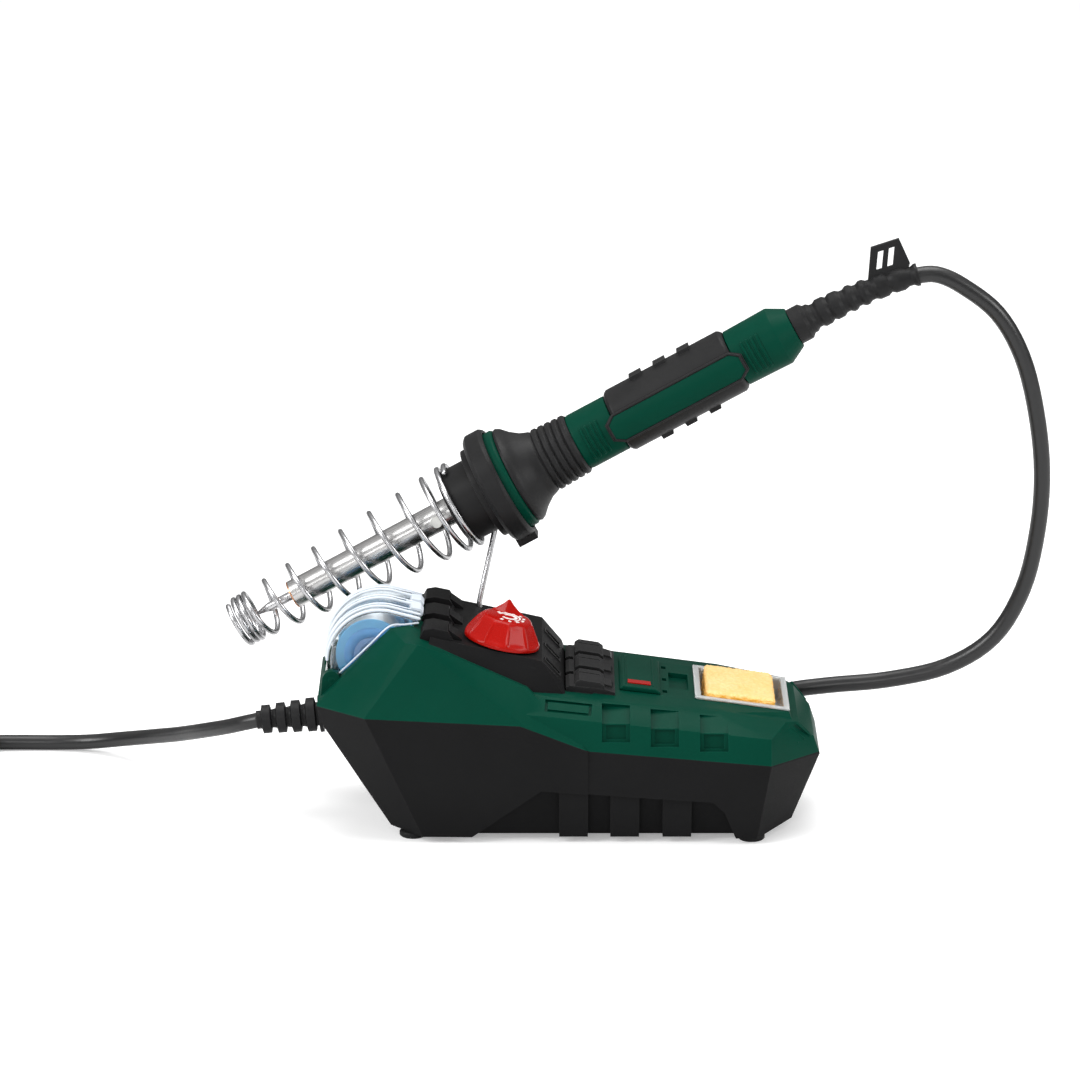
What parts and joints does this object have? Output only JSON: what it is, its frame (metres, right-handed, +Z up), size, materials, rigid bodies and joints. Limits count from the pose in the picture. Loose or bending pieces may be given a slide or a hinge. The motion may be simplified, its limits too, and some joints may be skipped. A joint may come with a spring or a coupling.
{
  "type": "soldering iron station",
  "caption": "Soldering iron station: a sloped base with a control knob, a solder reel under a clear lid and a sponge tray, and a coiled-wire holder carrying a corded iron.",
  "frame": {"origin": "centre of the base on the surface its four feet stand on", "axes": "+X along the base from the solder reel to the sponge tray, +Y to the back, +Z up"},
  "size_m": [0.5137, 0.2104, 0.2212],
  "materials": {
    "black_plastic": "fine moulded texture, satin",
    "green_plastic": "moulded deep green, satin",
    "dark_plastic": "moulded charcoal, satin",
    "grip_rubber": "soft matt grip",
    "foot_rubber": "matt",
    "zinc_steel": "zinc plated",
    "bright_steel": "bright plated",
    "copper": "bare, lightly tinted by heat",
    "red_plastic": "glossy",
    "tin_metal": "stamped, satin",
    "board": "lacquered circuit board",
    "black_package": "moulded",
    "aluminium": "extruded",
    "capacitor_case": "moulded",
    "wire_cover": "wire covering",
    "blue_plastic": "satin blue",
    "solder": "soft grey wire",
    "clear_plastic": "clear moulded plastic",
    "sponge_foam": "cellulose sponge",
    "heater_ceramic": "fired, matt",
    "cord_cover": "smooth flexible covering",
    "pin_brass": "nickelled"
  },
  "bodies": {
    "base": {"lower_housing": "black_plastic", "upper_housing": "green_plastic", "rubber_feet": "foot_rubber", "housing_screws": "zinc_steel", "control_panel": "dark_plastic", "ribbed_cover": "dark_plastic", "badge_plate": "green_plastic", "badge_bar": "red_plastic", "pot_body": "tin_metal", "pot_nut": "zinc_steel", "circuit_board": "board", "board_screws": "zinc_steel", "triac": "black_package", "heat_sink": "aluminium", "capacitor": "capacitor_case", "board_wires": "wire_cover", "cord_clamp": "dark_plastic", "clamp_screws": "zinc_steel", "reel_cradle": "blue_plastic", "reel_axle": "zinc_steel", "lid_pin": "zinc_steel", "holder_spring": "bright_steel", "holder_leg": "bright_steel", "spring_hub": "black_plastic", "holder_collar": "black_plastic", "lead_coil": "cord_cover", "lead_tail": "cord_cover", "base_relief": "foot_rubber", "mains_relief": "foot_rubber", "mains_cord": "cord_cover", "mains_coil": "cord_cover", "mains_tail": "cord_cover", "mains_plug": "cord_cover", "plug_pins": "pin_brass"},
    "knob": {"knob": "red_plastic", "pot_shaft": "zinc_steel"},
    "reel": {"solder_reel": "blue_plastic", "solder_wire": "solder"},
    "lid": {"lid": "clear_plastic"},
    "tray": {"sponge_tray": "clear_plastic"},
    "sponge": {"sponge": "sponge_foam"},
    "iron": {"iron_tip": "bright_steel", "tip_collar": "copper", "barrel": "bright_steel", "heater": "heater_ceramic", "barrel_screw": "zinc_steel", "guard_ring": "green_plastic", "finger_guard": "dark_plastic", "handle_front": "green_plastic", "handle_back": "green_plastic", "handle_grip": "grip_rubber", "handle_plates": "green_plastic", "terminal_block": "tin_metal", "lead_relief": "foot_rubber", "lead_tube": "cord_cover"}
  },
  "joints": [
    {"name": "iron_draw", "type": "slide", "parent": "base", "child": "iron", "axis": [0.8763, 0, 0.4817], "range_m": [0, 0.115]},
    {"name": "knob_turn", "type": "hinge", "parent": "base", "child": "knob", "pos_m": [-0.026, -0.017, 0.0736], "axis": [0.2147, 0, 0.9767], "range_deg": [-135, 135]},
    {"name": "reel_spin", "type": "hinge", "parent": "base", "child": "reel", "pos_m": [-0.076, -0.0015, 0.0688], "axis": [0, 1, 0], "continuous": true},
    {"name": "lid_open", "type": "hinge", "parent": "base", "child": "lid", "pos_m": [-0.0912, 0, 0.0606], "axis": [0, -1, 0], "range_deg": [0, 95]},
    {"name": "tray_lift", "type": "slide", "parent": "base", "child": "tray", "axis": [0.1392, 0, 0.9903], "range_m": [0, 0.03]},
    {"name": "sponge_lift", "type": "slide", "parent": "tray", "child": "sponge", "axis": [0.1392, 0, 0.9903], "range_m": [0, 0.02]}
  ]
}
